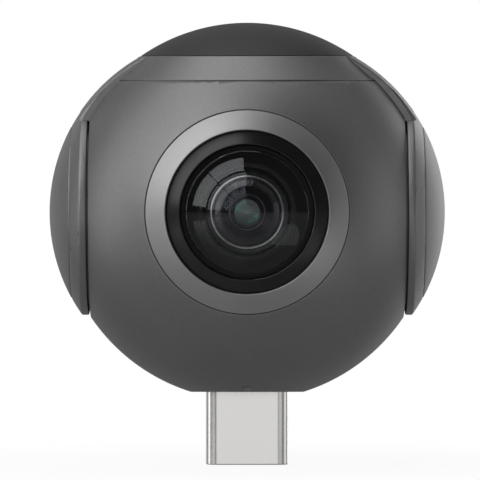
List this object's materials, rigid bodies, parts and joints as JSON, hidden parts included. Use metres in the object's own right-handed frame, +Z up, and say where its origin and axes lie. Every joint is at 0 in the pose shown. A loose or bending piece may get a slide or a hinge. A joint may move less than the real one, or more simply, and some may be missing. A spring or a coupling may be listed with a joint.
{
  "type": "360 degree camera",
  "caption": "Ball shaped 360 degree camera with a fisheye lens on the front and one on the back, a headband frame and a USB-C plug underneath.",
  "frame": {"origin": "middle of the flat base face, on the axis of the plug that leaves it", "axes": "+Z up, away from the plug; -Y the way the front lens looks; +X to the right seen from the front"},
  "size_m": [0.0396, 0.04, 0.0441],
  "materials": {
    "housing_paint": "satin metallic grey",
    "frame_paint": "satin metallic grey",
    "dark_cap": "satin dark grey",
    "screw_steel": "zinc plated",
    "trim_aluminium": "turned and fine blasted",
    "bezel_black": "polished black",
    "seal_rubber": "moulded",
    "black_anodised": "black anodised, matt",
    "dome_glass": "polished and coated",
    "lens_glass": "polished and coated",
    "holder_black": "glass filled, moulded",
    "filter_glass": "coated cyan",
    "sensor_face": "cover glass over silicon",
    "board_mask": "green solder mask",
    "flex_amber": "polyimide film",
    "chip_black": "moulded epoxy",
    "pad_grey": "soft silicone",
    "spreader_aluminium": "stamped",
    "shield_steel": "tinned",
    "connector_ivory": "moulded",
    "led_white": "clear over a white body",
    "pipe_clear": "clear moulded rod",
    "plug_nickel": "nickel plated, satin",
    "plug_black": "moulded",
    "contact_gold": "gold plated",
    "bracket_steel": "stamped"
  },
  "bodies": {
    "root": {"board_connectors": "connector_ivory", "board_screws": "screw_steel", "frame_screws": "screw_steel", "front_aperture_stop": "black_anodised", "front_bezel": "bezel_black", "front_dome_lens": "dome_glass", "front_fifth_lens": "lens_glass", "front_fifth_retainer": "black_anodised", "front_flex_cable": "flex_amber", "front_fourth_lens": "lens_glass", "front_image_sensor": "sensor_face", "front_ir_filter": "filter_glass", "front_lens_barrel": "black_anodised", "front_lens_holder": "holder_black", "front_seal_ring": "seal_rubber", "front_second_lens": "lens_glass", "front_second_retainer": "black_anodised", "front_sensor_board": "board_mask", "front_shell": "housing_paint", "front_third_lens": "lens_glass", "front_third_retainer": "black_anodised", "front_trim_ring": "trim_aluminium", "heat_spreader": "spreader_aluminium", "left_cap": "frame_paint", "light_pipe": "pipe_clear", "main_board": "board_mask", "memory_chip": "chip_black", "plug_bracket": "bracket_steel", "plug_contacts": "contact_gold", "plug_core": "plug_black", "plug_latches": "bracket_steel", "plug_shell": "plug_nickel", "processor": "chip_black", "rear_aperture_stop": "black_anodised", "rear_bezel": "bezel_black", "rear_dome_lens": "dome_glass", "rear_fifth_lens": "lens_glass", "rear_fifth_retainer": "black_anodised", "rear_flex_cable": "flex_amber", "rear_fourth_lens": "lens_glass", "rear_image_sensor": "sensor_face", "rear_ir_filter": "filter_glass", "rear_lens_barrel": "black_anodised", "rear_lens_holder": "holder_black", "rear_seal_ring": "seal_rubber", "rear_second_lens": "lens_glass", "rear_second_retainer": "black_anodised", "rear_sensor_board": "board_mask", "rear_shell": "housing_paint", "rear_third_lens": "lens_glass", "rear_third_retainer": "black_anodised", "rear_trim_ring": "trim_aluminium", "right_cap": "frame_paint", "sensor_screws": "screw_steel", "shield_can": "shield_steel", "side_frame": "frame_paint", "status_led": "led_white", "thermal_pad": "pad_grey", "top_cap": "dark_cap"}
  },
  "joints": []
}
